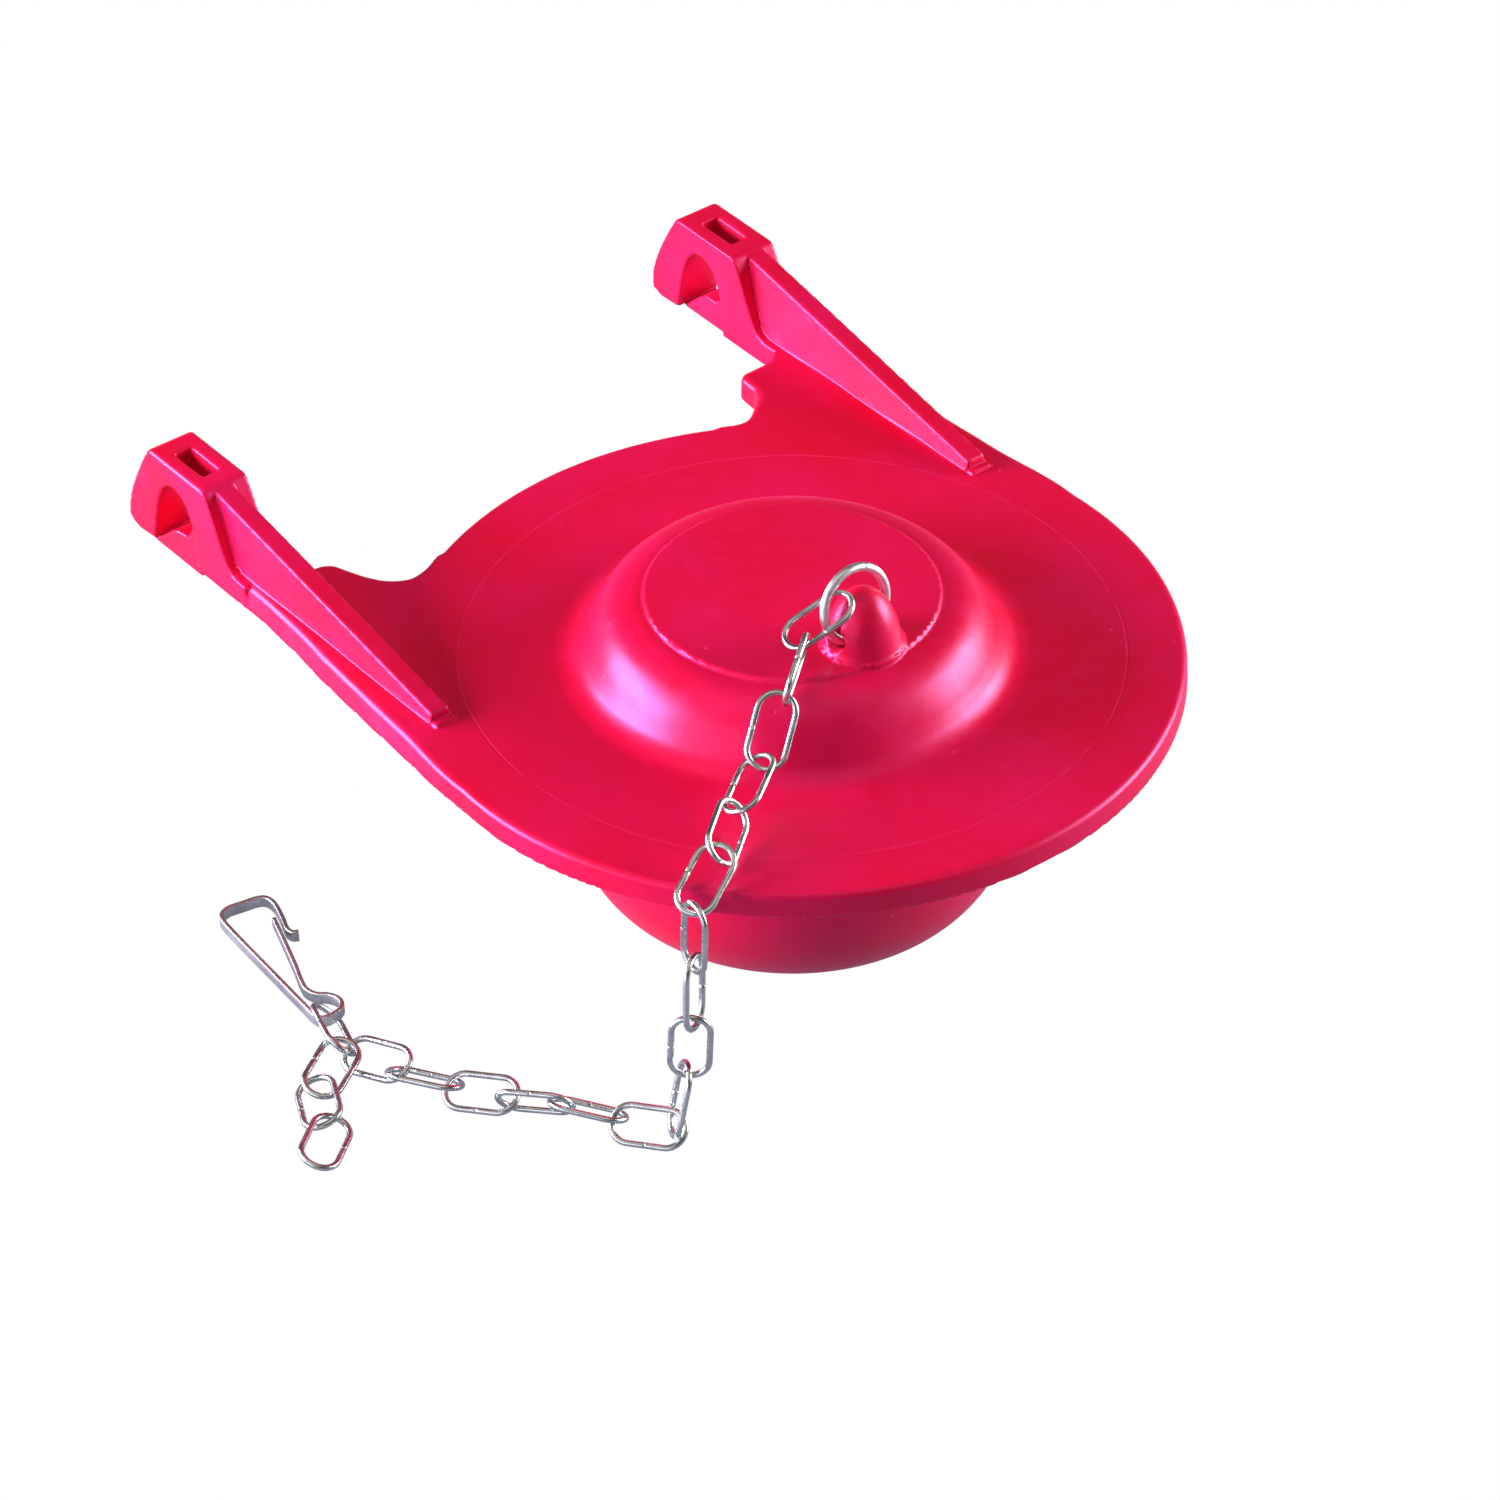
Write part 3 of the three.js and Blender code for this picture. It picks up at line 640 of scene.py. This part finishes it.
for i, (c, u, n) in enumerate(LINKS):
    X = Vector(u).normalized()
    Z = Vector(n)
    Z = (Z - X * Z.dot(X)).normalized()
    Y = Z.cross(X)
    p, q = link_path(i % 3 == 1)
    pts, faces = wire(p, q, (0, 0, 1), 0.345, 18, True)
    pts = pts @ np.array([X, Y, Z]) + np.array(c)
    steel_piece(f"link_{i + 1:02d}_wire", pts, faces, WIRE, f"chain_link_{i + 1:02d}")

# The clip: one flat strip, bent on edge, its corners rounded.
CLIP = [(-49.75, 28.3), (-50.75, 25.5), (-51.8, 22.65), (-52.85, 19.8), (-53.9, 17.2), (-54.35, 15.6), (-54.05, 14.3),
        (-53.2, 13.4), (-52.75, 12.5), (-52.7, 11.6), (-53.05, 10.85), (-53.7, 10.4), (-54.6, 10.2), (-55.5, 10.2), (-56.15, 10.55),
        (-56.3, 11.3), (-56.1, 13.5), (-55.5, 19.5), (-54.25, 31.2), (-54.0, 32.2), (-53.4, 32.9), (-52.5, 33.2), (-50.6, 32.9),
        (-48.9, 32.55), (-48.3, 32.1), (-48.1, 31.4), (-48.2, 30.2), (-49.0, 27.7), (-49.75, 25.6), (-49.6, 24.9), (-49.1, 24.6)]
line = np.array(curve(CLIP, 0.25))
along = np.gradient(line, axis=0)
along /= np.linalg.norm(along, axis=1, keepdims=True)
across = np.stack([along[:, 1], -along[:, 0]], -1)
corner = 0.11
section = []
for cx, cz, a0 in ((0.25 - corner, 1.35 - corner, 0), (-0.25 + corner, 1.35 - corner, 90), (-0.25 + corner, corner, 180), (0.25 - corner, corner, 270)):
    section += arc(cx, cz, corner, a0, a0 + 90, 3)
section = np.array(section)
scale = np.ones(len(line))
rows = [(line[i] + across[i] * w * scale[i], h) for i in range(len(line)) for w, h in section]
pts = np.array([(xy[0], xy[1], h) for xy, h in rows])
k = len(section)
a = np.arange(len(line) - 1)[:, None] * k + np.arange(k)[None]
b = np.arange(len(line) - 1)[:, None] * k + (np.arange(k)[None] + 1) % k
faces = np.stack([a, b, b + k, a + k], -1).reshape(-1, 4)
tilt = Matrix.Translation((-0.25, 33.4 - 0.35, 0.02)) @ Matrix.Rotation(-math.radians(2.8), 4, "X") @ Matrix.Translation((0, -33.4, 0))
pts = pts @ np.array(tilt.to_3x3()).T + np.array(tilt.translation)
steel_piece("clip_strip", pts, faces, STRIP, "chain_clip")

# -------------------------------------------------------------------- floor
floor_mat, N, L, b = nodes_of("pale_floor")
b.inputs["Base Color"].default_value = (0.12, 0.12, 0.13, 1)
b.inputs["Roughness"].default_value = 0.9
b.inputs["Specular IOR Level"].default_value = 0.1
b.inputs["Emission Color"].default_value = (0.80, 0.76, 1.15, 1)
b.inputs["Emission Strength"].default_value = 0.26
R = 1400.0
floor = place("floor", mesh_of("floor", [(-R, -R, -0.05), (R, -R, -0.05), (R, R, -0.05), (-R, R, -0.05)], [(0, 1, 2, 3)], False), floor_mat)
floor.visible_camera = False

# -------------------------------------------------------------------- light


def softbox(name, towards, distance, width, height, power, colour, aim=(0.0, 0.005, 0.025)):
    lamp = bpy.data.lights.new(name, "AREA")
    lamp.shape = "RECTANGLE"
    lamp.size, lamp.size_y = width, height
    lamp.energy = power
    lamp.color = colour
    ob = bpy.data.objects.new(name, lamp)
    bpy.context.scene.collection.objects.link(ob)
    d = Vector(towards).normalized()
    ob.location = Vector(aim) + d * distance
    ob.rotation_mode = "QUATERNION"
    ob.rotation_quaternion = d.to_track_quat("Z", "Y")
    ob.visible_camera = False
    return ob


softbox("light_left", (-0.78, 0.60, 0.20), 0.43, 0.34, 0.20, 6.4, (1.0, 0.72, 1.06))
softbox("light_front_left", (-0.93, -0.25, 0.22), 0.70, 0.50, 0.34, 1.0, (0.96, 0.88, 1.12))
softbox("light_right", (0.88, -0.40, 0.27), 0.60, 0.40, 0.30, 6.4, (1.0, 0.95, 1.08))
softbox("light_top", (-0.20, -0.12, 0.97), 0.85, 0.90, 0.90, 2.0, (1.0, 0.72, 0.74))

world = bpy.data.worlds.new("studio")
bpy.context.scene.world = world
world.use_nodes = True
N, L = world.node_tree.nodes, world.node_tree.links
N.clear()
out = N.new("ShaderNodeOutputWorld")
seen, lit, mix, path = N.new("ShaderNodeBackground"), N.new("ShaderNodeBackground"), N.new("ShaderNodeMixShader"), N.new("ShaderNodeLightPath")
seen.inputs["Color"].default_value = (1, 1, 1, 1)
lit.inputs["Color"].default_value = (0.92, 0.92, 1.0, 1)
lit.inputs["Strength"].default_value = 0.10
L.new(path.outputs["Is Camera Ray"], mix.inputs[0])
L.new(lit.outputs[0], mix.inputs[1])
L.new(seen.outputs[0], mix.inputs[2])
L.new(mix.outputs[0], out.inputs[0])

view = bpy.context.scene.view_settings
view.view_transform = "Standard"
view.look = "None"
view.exposure = 0.0
view.gamma = 1.0

# ------------------------------------------------------------------- camera
cam_data = bpy.data.cameras.new("camera")
cam_data.sensor_width = 36.0
cam_data.lens = 160.9
cam_data.clip_start, cam_data.clip_end = 0.05, 20.0
cam = bpy.data.objects.new("camera", cam_data)
bpy.context.scene.collection.objects.link(cam)
az, el, roll = math.radians(-37.92), math.radians(37.68), math.radians(-0.54)
back = Vector((math.sin(az) * math.cos(el), -math.cos(az) * math.cos(el), math.sin(el)))
right = Vector((math.cos(az), math.sin(az), 0))
up = back.cross(right)
r2 = right * math.cos(roll) + up * math.sin(roll)
u2 = up * math.cos(roll) - right * math.sin(roll)
cam.matrix_world = Matrix.Translation(Vector((-0.3574, -0.4512, 0.4619))) @ Matrix((r2, u2, back)).transposed().to_4x4()
bpy.context.scene.camera = cam
